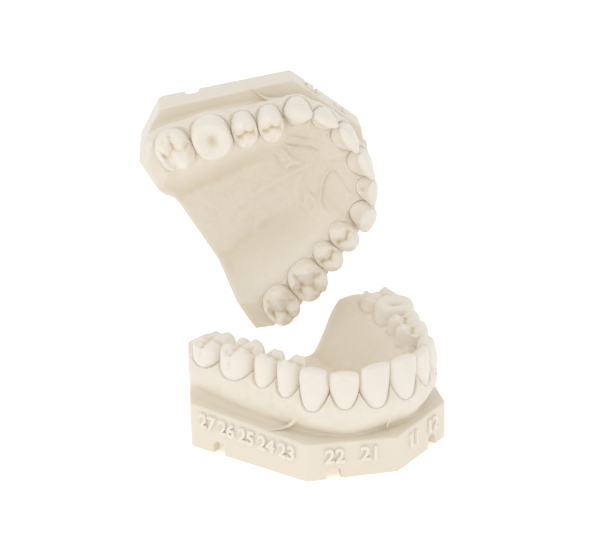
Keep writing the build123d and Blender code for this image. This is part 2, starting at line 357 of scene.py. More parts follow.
def crown_points(block, number, side, rings, grow=0.0):
    """Moves the points of a block, from -1 to 1, onto a crown, its neck and its peg.

    The top of the block becomes the biting surface, its sides the crown and neck, and its
    underside the peg. A growth makes the pocket that the same tooth sits in."""
    tooth = TEETH[number]
    design = crown_design(number, side)
    x, y, z = block.T
    ring = np.maximum(np.abs(x), np.abs(y))
    flat = np.abs(x) >= np.abs(y)
    safe_x = np.where(np.abs(x) > 0, x, 1.0)
    safe_y = np.where(np.abs(y) > 0, y, 1.0)
    angle_x = math.pi / 4 * y / safe_x + np.where(x < 0, math.pi, 0.0)
    angle_y = math.pi / 2 - math.pi / 4 * x / safe_y + np.where(y < 0, math.pi, 0.0)
    angle = np.where(flat, angle_x, angle_y)
    cosine = np.cos(angle)
    sine = np.sin(angle)
    top = z > 1 - 1e-6
    under = z < -1 + 1e-6

    shares, widths, depths, shifts, squares = zip(*design["levels"])
    share = (z + 1) / 2 * shares[-1]
    width = between(share, shares, widths) + 2 * grow
    depth = between(share, shares, depths) + 2 * grow
    shift = between(share, shares, shifts)
    square = between(share, shares, squares)
    reach = (np.abs(cosine) ** square + np.abs(sine) ** square) ** (-1 / square)
    across = depth / 2 * reach * sine
    narrowing = 1 - design.get("taper", 0.0) * np.clip(-across / (depth / 2), 0.0, 1.0) ** 1.5
    along = width / 2 * reach * cosine * narrowing + design.get("skew", 0.0) * across

    seat = seat_height(number) - (0.0 if grow == 0 else 0.02)
    height = tooth["tip"] - seat
    shoulder = seat + shares[-1] * height
    u = along.copy()
    v = shift + across
    h = seat + share * height

    bend = ring * math.pi / 2
    spread = np.sin(bend)
    u = np.where(top, along * spread, u)
    v = np.where(top, shift + across * spread, v)
    inner_power = design.get("edge", design["dome"])
    outer_power = LABIAL_ROUND if "edge" in design else design["dome"]
    toward = ease(sine / 2 + 0.5)
    edge_power = inner_power * (1 - toward) + outer_power * toward
    dome_power = design["dome"] * cosine**2 + edge_power * sine**2
    rise = np.maximum(np.cos(bend), 0.0) ** dome_power
    if "cusps" in design:
        dome = shoulder + DOME_OVER * (tooth["tip"] - shoulder) * rise
        if design.get("bowl"):
            away = np.hypot(u, v / 1.15)
            table = tooth["tip"] - 0.3 - design["bowl"] * bell(away, 0.0, 1.5)
            table = table - 1.1 * bell(away, 0.0, 2.9)
        else:
            table = cusp_table(design, u, v, spread, (width + depth) / 4, tooth["tip"])
        crown = lower_of(dome, table, 0.14)
    else:
        crown = shoulder + (tooth["tip"] - shoulder) * rise
    h = np.where(top, crown, h)

    upper = ~under
    inner = np.clip(-sine, 0.0, 1.0) ** 2
    level = np.clip((h - seat) / height, 0.0, 1.0)
    if design.get("fossa"):
        hollow = design["fossa"] * inner * bell(u, 0.0, 0.27 * widths[-2]) * bell(level, 0.62, 0.2)
        v = v + np.where(upper & ~top, hollow, 0.0)
        bumps = 0.10 * (bell(u, 0.0, 0.16 * widths[-2]) - 0.5 * bell(u, 0.24 * widths[-2], 0.7)
                        - 0.5 * bell(u, -0.24 * widths[-2], 0.7)) * np.clip(sine, 0.0, 1.0)
        v = v + np.where(upper & ~top, bumps * bell(level, 0.7, 0.25), 0.0)
    if design.get("groove"):
        cut = design["groove"] * bell(u, -0.1, 0.7) * np.clip(sine, 0.0, 1.0) ** 2
        v = v - np.where(upper, cut * ease((level - 0.3) / 0.3) * (ring > 0.6), 0.0)
        palatal = 0.8 * design["groove"] * bell(u, 1.1, 0.7) * inner
        v = v + np.where(upper, palatal * ease((level - 0.45) / 0.3) * (ring > 0.6), 0.0)
    if design.get("pit"):
        pit = design["pit"] * inner * bell(u, 0.1, 0.75) * bell(level, 0.5, 0.09)
        v = v + np.where(upper & ~top, pit, 0.0)
    if design.get("lean"):
        u = u + design["lean"] * np.clip((h - shoulder) / (tooth["tip"] - shoulder), 0.0, 1.0)

    peg_out = PEG_RADIUS + PEG_SHOULDER - tooth["neck"][1] / 2 if number in FRONT_TEETH else 0.0
    peg_radius = PEG_RADIUS + (PEG_CLEARANCE if grow else 0.0)
    peg_length = PEG_LENGTH + (SOCKET_SPARE if grow else 0.0)
    step = ring * rings
    inside = np.clip(step / 3, 0.0, 1.0) * peg_radius
    outside = np.clip((step - 4) / (rings - 4), 0.0, 1.0)
    under_u = cosine * inside * (1 - outside) + along * outside
    under_v = (peg_out + sine * inside) * (1 - outside) + v * outside
    under_h = seat - np.where(step < 3.5, peg_length, 0.0)
    u = np.where(under, under_u, u)
    v = np.where(under, under_v, v)
    h = np.where(under, under_h, h)

    place, away_from_midline, outward = tooth_frame(number, side)
    flat_place = place + np.outer(u, away_from_midline) + np.outer(v, outward)
    return np.column_stack([flat_place, h])


def block_mesh(cuts):
    """Cube of side two whose faces are divided into a grid."""
    bm = bmesh.new()
    bmesh.ops.create_cube(bm, size=2.0)
    bmesh.ops.subdivide_edges(bm, edges=bm.edges[:], cuts=cuts, use_grid_fill=True)
    return bm


def points_of(bm):
    """All the points of a bmesh, one row each."""
    return np.array([vert.co[:] for vert in bm.verts])


def move_points(bm, points):
    """Puts every point of a bmesh in its new place."""
    for vert, point in zip(bm.verts, points):
        vert.co = point


def face_outward(bm):
    """Turns every face of a closed shape outward."""
    bm.normal_update()
    bmesh.ops.recalc_face_normals(bm, faces=bm.faces[:])


def crown_bmesh(number, side, cuts, grow=0.0):
    """Crown, neck and peg of one tooth, or its pocket, in the cast's millimetres."""
    bm = block_mesh(cuts)
    move_points(bm, crown_points(points_of(bm), number, side, (cuts + 1) // 2, grow))
    face_outward(bm)
    return bm


# Gum --------------------------------------------------------------------------------------

GUM_REACH = 64.5
MARGIN_HEIGHTS = (18.2, 18.9, 18.3, 20.0, 21.0, 21.2, 21.6)
PAPILLA_HEIGHTS = (22.9, 22.8, 22.8, 23.2, 23.6, 23.8, 23.8, 23.6)
PALATAL_HEIGHTS = (21.2, 21.5, 22.4, 24.0, 24.4, 24.4, 24.2)
PALATAL_PAPILLAE = (22.4, 22.4, 23.1, 24.6, 25.1, 25.3, 25.3, 25.1)
WALL_OUT = (3.5, 3.1, 4.6, 3.5, 3.6, 5.1, 5.2)
PALATAL_OUT = (-3.4, -3.0, -3.1, -5.2, -5.1, -5.5, -5.2)
BEHIND_PLACES = (57.4, 59.2, 61.4, 64.5)
BEHIND_HEIGHTS = (23.6, 24.0, 24.4, 24.6)
BEHIND_INNER_HEIGHTS = (25.1, 25.05, 25.0, 24.95)
BEHIND_OUT = (5.0, 4.4, 3.3, 2.6)
BEHIND_PALATAL = (-5.6, -6.8, -7.9, -8.4)
PALATE_PLACES = (12.9, 16.3, 21.0, 27.0, 35.0, 44.0, 54.0)
PALATE_HEIGHTS = (16.0, 14.0, 12.2, 11.2, 10.7, 10.4, 10.6)

PALATE_RIM_RISE = 0.3

BOTTOM_ROWS = 3
COVE_ROWS = 7
WALL_ROWS = 30
RIM_ROWS = 3
CREST_ROWS = 14
PALATE_ROWS = 54
FOOT_OUT_FRONT = -0.6
FOOT_OUT_BACK = 3.8
SEAT_OUT_BACK = 4.9


def scallop(run, zeniths, papillae, behind_heights=BEHIND_HEIGHTS):
    """Margin height along the arch, how near a point is to a gap between teeth, and the
    height of the lowest point of the margin beside it."""
    near = np.abs(run)
    at = np.clip(np.searchsorted(TOOTH_EDGES, near) - 1, 0, 6)
    widths = np.asarray(TOOTH_WIDTHS)
    share = 2 * (near - TOOTH_MIDDLES[at]) / widths[at]
    share = np.clip(share, -1.0, 1.0)
    papillae = np.asarray(papillae)
    tip = np.where(share < 0, papillae[at], papillae[at + 1])
    low = np.asarray(zeniths)[at]
    height = low + (tip - low) * np.abs(share) ** 2.8
    behind = near > ARCH_END
    height = np.where(behind, between(near, BEHIND_PLACES, behind_heights), height)
    gap = ease(np.abs(share)) ** 2.5
    gap = gap * np.where(behind, 1 - ease((near - ARCH_END) / 3.0), 1.0)
    smooth_low = between(near, TOOTH_MIDDLES, zeniths)
    return height, gap, smooth_low


def out_line(run, values, behind):
    """Smooth sideways place along the arch from one value for each tooth."""
    near = np.abs(run)
    places = np.concatenate([[0.0], TOOTH_MIDDLES, BEHIND_PLACES])
    return between(near, places, np.concatenate([[values[0]], values, behind]))


RUGA_SPREAD = 0.20
RUGA_SHARPNESS = 1.6


def ruga_height(x, y):
    """Irregular cross folds behind the front teeth, none of them on the midline."""
    away = np.abs(x)
    level = np.empty_like(x)
    for index, (px, py) in enumerate(zip(x, y)):
        side = 11.0 if px < 0 else 3.0
        bent = noise.noise_vector(Vector((px * 0.13, py * 0.13, side)))
        place = Vector((abs(px) * 0.15 + 0.35 * bent.x, (py - 0.30 * abs(px)) * 0.25, side))
        level[index] = noise.noise(place + Vector((0.0, 0.35 * bent.y, 0.0)))
    ridge = np.clip(1 - np.abs(level) / RUGA_SPREAD, 0.0, 1.0) ** RUGA_SHARPNESS
    across = ease((away - 0.5) / 2.0) * ease((14.0 - away) / 5.0)
    return ridge * across * ease((y - 8.0) / 3.0) * ease((27.0 - y) / 8.0)


def palate_relief(x, y, settings):
    """Everything that stands proud of the palate, in millimetres."""
    fold = settings.fold_height / MM
    relief = fold * ruga_height(x, y)
    relief += 0.9 * fold * bell(x, 0.0, 1.3) * bell(y, 9.2, 2.0)
    relief += 0.35 * fold * bell(x, 0.0, 0.8) * ease((y - 11.0) / 4.0) * ease((44.0 - y) / 14.0)
    return relief


def gum_bmesh(settings):
    """Gum ridge and palate as one closed skin, without the pockets."""
    columns = 480
    counts = (BOTTOM_ROWS, COVE_ROWS, WALL_ROWS, RIM_ROWS, CREST_ROWS, RIM_ROWS, PALATE_ROWS)
    rows = sum(counts)
    bm = bmesh.new()
    bmesh.ops.create_grid(bm, x_segments=columns, y_segments=rows, size=1.0)
    grid = points_of(bm)
    run = grid[:, 0] * GUM_REACH
    row = np.rint((grid[:, 1] + 1) / 2 * rows).astype(int)
    line_x, line_y, out_x, out_y = arch(run)
    eased = ease(np.abs(run) / ARCH_END)
    middle_y = np.sqrt(12.5**2 + (line_y + 0.5) ** 2) + 0.03 * np.abs(run)

    foot_out = FOOT_OUT_FRONT + (FOOT_OUT_BACK - FOOT_OUT_FRONT) * eased
    seat_out = FOOT_OUT_FRONT + (SEAT_OUT_BACK - FOOT_OUT_FRONT) * eased
    foot_y = line_y + foot_out * out_y
    ledge = LEDGE_FRONT + LEDGE_RISE * foot_y
    cove = 0.5 + 1.5 * eased
    margin, gap, low = scallop(run, MARGIN_HEIGHTS, PAPILLA_HEIGHTS)
    palatal, palatal_gap, palatal_low = scallop(run, PALATAL_HEIGHTS, PALATAL_PAPILLAE,
                                                BEHIND_INNER_HEIGHTS)
    wall_out = out_line(run, WALL_OUT, BEHIND_OUT)
    inner_out = out_line(run, PALATAL_OUT, BEHIND_PALATAL)
    behind = ease((np.abs(run) - ARCH_END + 1.5) / 5.5)
    rim = 0.18 + 3.0 * behind
    inner_rim = 0.30 - 0.28 * ease((np.abs(run) - ARCH_END + 2.5) / 2.5)

    out = np.zeros(len(grid))
    height = np.full(len(grid), GUM_SEAT_HEIGHT)
    to_middle = np.zeros(len(grid))

    def wall_place(level):
        """How far out the outer face stands at a height."""
        share = np.clip((level - ledge - cove) / (low - ledge - cove), 0.0, 1.0)
        bulge = 0.5 * np.sin(math.pi * share) ** 1.4 * eased
        swell = foot_out + (wall_out - foot_out) * (1 - (1 - share) ** 1.8) + bulge
        dent = 0.4 * gap * ease((level - 13.5) / 4.0)
        tuck = 1.45 * gap * ease((level - low) / (margin.max() - low))
        return swell - dent - tuck

    start = 0
    part = (row - start) / BOTTOM_ROWS
    here = row <= BOTTOM_ROWS
    to_middle = np.where(here, 1 - part, to_middle)
    out = np.where(here, seat_out, out)

    start += BOTTOM_ROWS
    part = (row - start - 1) / (COVE_ROWS - 1)
    here = (row > start) & (row <= start + COVE_ROWS)
    turn = part * math.pi / 2
    out = np.where(here, foot_out + cove * (1 - np.sin(turn)), out)
    height = np.where(here, ledge + cove * (1 - np.cos(turn)) - 0.02, height)

    start += COVE_ROWS
    part = (row - start) / WALL_ROWS
    here = (row > start) & (row <= start + WALL_ROWS)
    level = ledge + cove + (margin - rim - ledge - cove) * part
    out = np.where(here, wall_place(level), out)
    height = np.where(here, level, height)
    rim_out = wall_place(margin - rim)

    start += WALL_ROWS
    part = (row - start) / RIM_ROWS
    here = (row > start) & (row <= start + RIM_ROWS)
    turn = part * math.pi / 2
    out = np.where(here, rim_out - rim * (1 - np.cos(turn)), out)
    height = np.where(here, margin - rim + rim * np.sin(turn), height)

    start += RIM_ROWS
    inner_edge = inner_out + 1.1 * palatal_gap
    part = (row - start) / CREST_ROWS
    here = (row > start) & (row <= start + CREST_ROWS)
    dome = 0.5 * behind * (1 - (2 * part - 1) ** 2)
    out = np.where(here, (rim_out - rim) * (1 - part) + (inner_edge + inner_rim) * part, out)
    height = np.where(here, margin * (1 - part) + palatal * part + dome, height)

    start += CREST_ROWS
    part = (row - start) / RIM_ROWS
    here = (row > start) & (row <= start + RIM_ROWS)
    turn = part * math.pi / 2
    out = np.where(here, inner_edge + inner_rim * (1 - np.sin(turn)), out)
    height = np.where(here, palatal - inner_rim * (1 - np.cos(turn)), height)

    start += RIM_ROWS
    part = np.clip((row - start) / PALATE_ROWS, 0.0, 1.0) ** 1.15
    here = row > start
    floor = between(middle_y, PALATE_PLACES, PALATE_HEIGHTS)
    deep = ease((middle_y - 14.0) / 22.0)
    fall = (1 - part) ** 1.35 * (1 - deep) + (1 - ease(part / 0.56)) * deep
    margin_share = (1 - part) ** 9
    even = out_line(run, PALATAL_HEIGHTS, BEHIND_INNER_HEIGHTS) + PALATE_RIM_RISE
    out = np.where(here, inner_out + 1.1 * palatal_gap * margin_share, out)
    to_middle = np.where(here, part, to_middle)
    sloped = floor + (even - inner_rim - floor) * fall + (palatal - even) * margin_share
    height = np.where(here, sloped, height)

    x = (line_x + out * out_x) * (1 - to_middle)
    y = (line_y + out * out_y) * (1 - to_middle) + middle_y * to_middle
    x = np.where(to_middle >= 1 - 1e-9, 0.0, x)
    on_palate = here * ease(part * 6)
    height = height + palate_relief(x, y, settings) * on_palate
    points = np.column_stack([x, y, height])
    grain = settings.waviness / MM
    soft = (row > BOTTOM_ROWS + COVE_ROWS) & (to_middle < 1 - 1e-9)
    for index in np.flatnonzero(soft):
        where = Vector(points[index])
        rough = noise.noise(where * 0.30) + 0.45 * noise.noise(where * 0.8)
        points[index, 2] += grain * rough * (1.0 if here[index] else 0.3)
        if not here[index]:
            points[index, 0] += grain * rough * out_x[index]
            points[index, 1] += grain * rough * out_y[index]
    move_points(bm, points)
    middle = [vert for vert in bm.verts if abs(vert.co.x) < 1e-7]
    bmesh.ops.remove_doubles(bm, verts=middle, dist=1e-4)
    trim_gum(bm)
    return bm


def cut_flat(bm, point, normal):
    """Cuts away what lies beyond a plane and closes the cut."""
    geometry = bm.verts[:] + bm.edges[:] + bm.faces[:]
    cut = bmesh.ops.bisect_plane(bm, geom=geometry, dist=1e-5, plane_co=point, plane_no=normal,
                                 clear_outer=True)
    edges = [item for item in cut["geom_cut"] if isinstance(item, bmesh.types.BMEdge)]
    bmesh.ops.triangle_fill(bm, edges=edges, use_beauty=True, use_dissolve=False)


def trim_gum(bm):
    """Back face and the two slanting heel faces."""
    cut_flat(bm, (0, rear_y(), 0), (0, 1, 0))
    point, front, heel, rear = base_corners()
    for side in SIDES:
        along = Vector((side * (rear[0] - heel[0]), rear[1] - heel[1], 0))
        normal = Vector((along.y * side, -along.x * side, 0)).normalized()
        cut_flat(bm, (side * heel[0], heel[1], 0), normal)
    face_outward(bm)


def fold_bmesh(path, beside, widths):
    """Soft ridge along a few points: a ball drawn out along the path."""
    bm = bmesh.new()
    bmesh.ops.create_uvsphere(bm, u_segments=16, v_segments=24, radius=1.0)
    ball = points_of(bm)
    share = np.arccos(np.clip(-ball[:, 2], -1.0, 1.0)) / math.pi
    places = np.linspace(0.0, 1.0, len(path))

    def along_path(at):
        return np.column_stack([between(at, places, [p[i] for p in path]) for i in range(3)])

    centre = along_path(share)
    along = along_path(np.clip(share + 0.02, 0, 1)) - along_path(np.clip(share - 0.02, 0, 1))
    along /= np.linalg.norm(along, axis=1)[:, None]
    across = beside - along * (along @ beside)[:, None]
    across /= np.linalg.norm(across, axis=1)[:, None]
    above = np.cross(across, along)
    width = between(share, places, widths)[:, None]
    move_points(bm, centre + (across * ball[:, :1] + above * ball[:, 1:2]) * width)
    face_outward(bm)
    return bm


SIDE_FOLD = (
    # distance along the arch, distance out of it, height
    (19.8, 3.9, 18.6),
    (21.6, 3.25, 16.2),
    (23.8, 2.35, 13.8),
    (26.5, 2.9, 11.5),
    (30.6, 7.6, 11.1),
)
SIDE_FOLD_WIDTHS = (0.10, 0.42, 0.55, 0.55, 0.20)
FRONT_FOLD = (
    (0.0, 3.0, 16.4),
    (0.0, 2.20, 14.4),
    (0.0, 1.25, 12.8),
    (0.0, 0.6, 11.4),
    (0.0, 0.9, 9.8),
)
FRONT_FOLD_WIDTHS = (0.10, 0.38, 0.52, 0.55, 0.35)


def fold_on_arch(fold, side, widths):
    """Soft ridge at places given along the arch."""
    path = []
    for run, out, height in fold:
        x, y, out_x, out_y = (float(value) for value in arch(np.array(side * run)))
        path.append((x + out * out_x, y + out * out_y, height))
    out_x, out_y = (float(value) for value in arch(np.array(side * fold[2][0]))[2:])
    return fold_bmesh(path, np.array([-out_y, out_x, 0.0]), widths)


# Finishing --------------------------------------------------------------------------------

def object_from(bm, name):
    """Scene object that holds a bmesh, which is then freed."""
    mesh = bpy.data.meshes.new(name)
    bm.to_mesh(mesh)
    bm.free()
    piece = bpy.data.objects.new(name, mesh)
    bpy.context.scene.collection.objects.link(piece)
    return piece


def combine(piece, cutter, operation):
    """Cuts a piece with another or joins it on, and removes the other."""
    modifier = piece.modifiers.new("combine", "BOOLEAN")
    modifier.operation = operation
    modifier.object = cutter
    modifier.solver = "MANIFOLD"
    graph = bpy.context.evaluated_depsgraph_get()
    mesh = bpy.data.meshes.new_from_object(piece.evaluated_get(graph))
    piece.modifiers.clear()
    old = piece.data
    piece.data = mesh
    bpy.data.meshes.remove(old)
    bpy.data.objects.remove(cutter)
    if len(mesh.polygons) == 0:
        raise RuntimeError(f"{piece.name} came out empty")


def crevice_values(mesh):
    """How hollow the surface is at each point, from -1 on ridges to 1 in grooves; it sets the
    painted highlight and painted shade.
    """
    count = len(mesh.vertices)
    points = np.empty(count * 3)
    mesh.vertices.foreach_get("co", points)
    points = points.reshape(-1, 3)
    normals = np.empty(count * 3)
    mesh.vertex_normals.foreach_get("vector", normals)
    normals = normals.reshape(-1, 3)
    edges = np.empty(len(mesh.edges) * 2, int)
    mesh.edges.foreach_get("vertices", edges)
    a, b = edges.reshape(-1, 2).T
    degree = np.bincount(np.concatenate([a, b]), minlength=count)
    degree = np.maximum(degree, 1)

    def spread(values):
        total = np.bincount(a, values[b], count) + np.bincount(b, values[a], count)
        return total / degree

    soft = points.copy()
    fine = None
    for step in range(14):
        soft = np.column_stack([0.4 * soft[:, i] + 0.6 * spread(soft[:, i]) for i in range(3)])
        if step == 3:
            fine = ((soft - points) * normals).sum(axis=1)
    broad = ((soft - points) * normals).sum(axis=1)
    hollow = 7.0 * fine + 1.6 * broad
    for step in range(3):
        hollow = 0.5 * hollow + 0.5 * spread(hollow)
    return np.clip(hollow, -1.0, 1.0), points


def finish_piece(piece, cast, node, body, material, adjust_painted_light):
    """Shades a piece, stores its hollows as amounts of painted shade and painted highlight, puts
    it in place and hands it to its body.
    """
    mesh = piece.data
    hollow, points = crevice_values(mesh)
    hollow = adjust_painted_light(hollow, points)
    attribute = mesh.attributes.new("painted_light_amount", "FLOAT", "POINT")
    attribute.data.foreach_set("value", hollow)
    mesh.polygons.foreach_set("use_smooth", [True] * len(mesh.polygons))
    mesh.set_sharp_from_angle(angle=math.radians(40))
    mesh.transform(cast_matrix(cast))
    mesh.materials.clear()
    mesh.materials.append(material)
    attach(piece, body)
    if node:
        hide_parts(node)
    return piece


# Materials --------------------------------------------------------------------------------

def relief_group():
    """Shared surface of cast resin: slow tint changes, warm painted shade in hollows, painted
    highlight on ridges and a fine grain.
    """
    name = "Resin surface"
    if name in bpy.data.node_groups:
        return bpy.data.node_groups[name]
    tree = bpy.data.node_groups.new(name, "ShaderNodeTree")
    sockets = tree.interface
    for label, kind in (("Vector", "NodeSocketVector"), ("Resin", "NodeSocketColor"),
                        ("Hollow tint", "NodeSocketColor"), ("Ridge tint", "NodeSocketColor"),
                        ("Crevice", "NodeSocketFloat"),
                        ("Mottle", "NodeSocketFloat"), ("Roughness", "NodeSocketFloat")):
        sockets.new_socket(name=label, in_out="INPUT", socket_type=kind)
    for label, kind in (("Colour", "NodeSocketColor"), ("Roughness", "NodeSocketFloat"),
                        ("Height", "NodeSocketFloat")):
        sockets.new_socket(name=label, in_out="OUTPUT", socket_type=kind)
    inside = tree.nodes.new("NodeGroupInput")
    result = tree.nodes.new("NodeGroupOutput")
    link = tree.links.new

    slow = tree.nodes.new("ShaderNodeTexNoise")
    slow.inputs["Scale"].default_value = 110.0
    slow.inputs["Detail"].default_value = 3.0
    link(inside.outputs["Vector"], slow.inputs["Vector"])
    grain = tree.nodes.new("ShaderNodeTexNoise")
    grain.inputs["Scale"].default_value = 2600.0
    grain.inputs["Detail"].default_value = 4.0
    link(inside.outputs["Vector"], grain.inputs["Vector"])

    centred = tree.nodes.new("ShaderNodeMath")
    centred.operation = "SUBTRACT"
    centred.inputs[1].default_value = 0.5
    link(slow.outputs["Fac"], centred.inputs[0])
    mottle = tree.nodes.new("ShaderNodeMath")
    mottle.operation = "MULTIPLY"
    link(centred.outputs[0], mottle.inputs[0])
    link(inside.outputs["Mottle"], mottle.inputs[1])
    # Painted shade: the crevice amount plus the random mottle mixes the resin toward the painted
    # shade colour
    amount = tree.nodes.new("ShaderNodeMath")
    amount.operation = "ADD"
    amount.use_clamp = True
    link(inside.outputs["Crevice"], amount.inputs[0])
    link(mottle.outputs[0], amount.inputs[1])
    tint = tree.nodes.new("ShaderNodeMix")
    tint.data_type = "RGBA"
    link(amount.outputs[0], tint.inputs["Factor"])
    link(inside.outputs["Resin"], tint.inputs["A"])
    link(inside.outputs["Hollow tint"], tint.inputs["B"])
    # Painted highlight: ridges, where the crevice amount is below zero, mix toward the painted
    # highlight colour
    ridge = tree.nodes.new("ShaderNodeMath")
    ridge.operation = "MULTIPLY"
    ridge.inputs[1].default_value = -1.0
    ridge.use_clamp = True
    link(inside.outputs["Crevice"], ridge.inputs[0])
    lit = tree.nodes.new("ShaderNodeMix")
    lit.data_type = "RGBA"
    link(ridge.outputs[0], lit.inputs["Factor"])
    link(tint.outputs["Result"], lit.inputs["A"])
    link(inside.outputs["Ridge tint"], lit.inputs["B"])
    link(lit.outputs["Result"], result.inputs["Colour"])

    rough = tree.nodes.new("ShaderNodeMath")
    rough.operation = "MULTIPLY_ADD"
    rough.inputs[1].default_value = 0.16
    link(grain.outputs["Fac"], rough.inputs[0])
    link(inside.outputs["Roughness"], rough.inputs[2])
    link(rough.outputs[0], result.inputs["Roughness"])
    link(grain.outputs["Fac"], result.inputs["Height"])
    return tree


def resin_material(name, settings, colour, roughness, mottle, grain_height):
    """Ivory resin with warm painted shade in its hollows and painted highlight on its ridges."""
    if name in bpy.data.materials:
        return bpy.data.materials[name]
    material = bpy.data.materials.new(name)
    material.use_nodes = True
    tree = material.node_tree
    link = tree.links.new
    shader = tree.nodes["Principled BSDF"]
    shader.inputs["Subsurface Weight"].default_value = 0.12
    shader.inputs["Subsurface Scale"].default_value = 0.0012
    shader.inputs["Subsurface Radius"].default_value = (1.0, 0.8, 0.5)
    shader.inputs["IOR"].default_value = 1.5
    shader.inputs["Sheen Weight"].default_value = 0.25
    shader.inputs["Sheen Roughness"].default_value = 0.3
    place = tree.nodes.new("ShaderNodeTexCoord")
    # Per-point amount of painted shade (above zero) and painted highlight (below zero)
    hollow = tree.nodes.new("ShaderNodeAttribute")
    hollow.attribute_name = "painted_light_amount"
    surface = tree.nodes.new("ShaderNodeGroup")
    surface.node_tree = relief_group()
    surface.inputs["Resin"].default_value = (*colour, 1.0)
    surface.inputs["Hollow tint"].default_value = (*settings.painted_shade_and_mottle_colour, 1.0)
    surface.inputs["Ridge tint"].default_value = (*settings.painted_highlight_colour, 1.0)
    surface.inputs["Mottle"].default_value = mottle
    surface.inputs["Roughness"].default_value = roughness
    link(place.outputs["Object"], surface.inputs["Vector"])
    link(hollow.outputs["Fac"], surface.inputs["Crevice"])
    bump = tree.nodes.new("ShaderNodeBump")
    bump.inputs["Strength"].default_value = 0.35
    bump.inputs["Distance"].default_value = grain_height
    link(surface.outputs["Height"], bump.inputs["Height"])
    link(surface.outputs["Colour"], shader.inputs["Base Color"])
    link(surface.outputs["Roughness"], shader.inputs["Roughness"])
    link(bump.outputs["Normal"], shader.inputs["Normal"])
    return material


def tooth_resin(settings):
    """Finish of the teeth."""
    return resin_material("Tooth resin", settings, settings.tooth_colour, 0.36, 0.10, 0.00002)


def gum_resin(settings):
    """Finish of the gum and palate."""
    return resin_material("Gum resin", settings, settings.resin_colour, 0.42, 0.22, 0.00004)


def base_resin(settings):
    """Finish of the bases and their raised numbers."""
    return resin_material("Base resin", settings, settings.resin_colour, 0.42, 0.20, 0.00004)


# Settings ---------------------------------------------------------------------------------

class CastSizes(bpy.types.PropertyGroup):
    """Sizes of the fine detail."""

    number_height: FloatProperty(
        name="Number height", description="Height of the raised tooth numbers",
        default=0.0038, min=0.001, unit="LENGTH")
    number_relief: FloatProperty(
        name="Number relief", description="How far the numbers stand out of the base",
        default=0.00105, min=0.0005, unit="LENGTH")
    fold_height: FloatProperty(
        name="Palate fold height", description="Height of the cross folds of the palate",
        default=0.00085, min=0.0, unit="LENGTH")
    waviness: FloatProperty(
        name="Gum waviness", description="Depth of the uneven places in the gum",
        default=0.00020, min=0.0, unit="LENGTH")
    crown_cuts: IntProperty(
        name="Crown divisions", description="Cuts along each side of a crown's mesh",
        default=31, min=15, max=63)


class CastFinish(bpy.types.PropertyGroup):
    """Colours of the resin, its painted shade and painted highlight, and the stage."""

    resin_colour: FloatVectorProperty(
        name="Resin", description="Colour of the resin in the open",
        subtype="COLOR", default=(0.80, 0.735, 0.625), min=0.0, max=1.0)
    tooth_colour: FloatVectorProperty(
        name="Teeth", description="Colour of the teeth in the open",
        subtype="COLOR", default=(0.835, 0.78, 0.69), min=0.0, max=1.0)
    # Painted shade in grooves and along gum lines; the random mottle also mixes toward it
    painted_shade_and_mottle_colour: FloatVectorProperty(
        name="Painted shade and mottle colour", description="Colour of the resin in grooves and along gum lines",
        subtype="COLOR", default=(0.70, 0.575, 0.37), min=0.0, max=1.0)
    # Painted highlight along rounded edges
    painted_highlight_colour: FloatVectorProperty(
        name="Painted highlight colour", description="Colour of the resin along rounded edges",
        subtype="COLOR", default=(0.90, 0.87, 0.81), min=0.0, max=1.0)
    floor_colour: FloatVectorProperty(
        name="Floor", description="Colour of the floor",
        subtype="COLOR", default=(0.97, 0.97, 0.97), min=0.0, max=1.0)
    sky_strength: FloatProperty(
        name="Sky", description="Brightness of the even light all round",
        default=0.86, min=0.0)
    lamp_power: FloatProperty(
        name="Soft lamp", description="Power of the large lamp above",
        default=0.35, min=0.0, unit="POWER")


# Pieces -----------------------------------------------------------------------------------

# Painted shade on crowns near the gum line
MARGIN_PAINTED_SHADE = 0.35
# Shares of painted highlight and painted shade the gum keeps, and the painted shade along its foot
GUM_PAINTED_HIGHLIGHT_SHARE = 0.35
GUM_PAINTED_SHADE_SHARE = 0.6
FOOT_BAND = 3.0
FOOT_PAINTED_SHADE = 0.22
# Even painted highlight on the raised numbers
NUMBER_PAINTED_HIGHLIGHT = -0.35
SAWN_TOLERANCE = 0.01


def arch_y_at(x):
    """How far back the arch line is beside a point."""
    return ARCH_FRONT_Y + ARCH_DEPTH * (np.abs(x) / ARCH_HALF_WIDTH) ** ARCH_POWER


def tooth_margin_painted_shade(number, side):
    """Painted shade on a crown near and below the gum line."""
    def add_margin_shade(hollow, points):
        place, away, outward = tooth_frame(number, side)
        flat = points[:, :2] - place
        u = flat @ away
        v = flat @ outward
        width = TOOTH_WIDTHS[number - 1]
        run = TOOTH_MIDDLES[number - 1] + np.clip(u, -width / 2, width / 2) * 0.98
        outer = scallop(run, MARGIN_HEIGHTS, PAPILLA_HEIGHTS)[0]
        inner = scallop(run, PALATAL_HEIGHTS, PALATAL_PAPILLAE)[0]
        mix = ease(v / TEETH[number]["neck"][1] + 0.5)
        line = inner * (1 - mix) + outer * mix
        # Painted shade where the crown meets the gum
        near_gum = MARGIN_PAINTED_SHADE * ease((line + 0.45 - points[:, 2]) / 0.6)
        return np.maximum(hollow, near_gum)
    return add_margin_shade


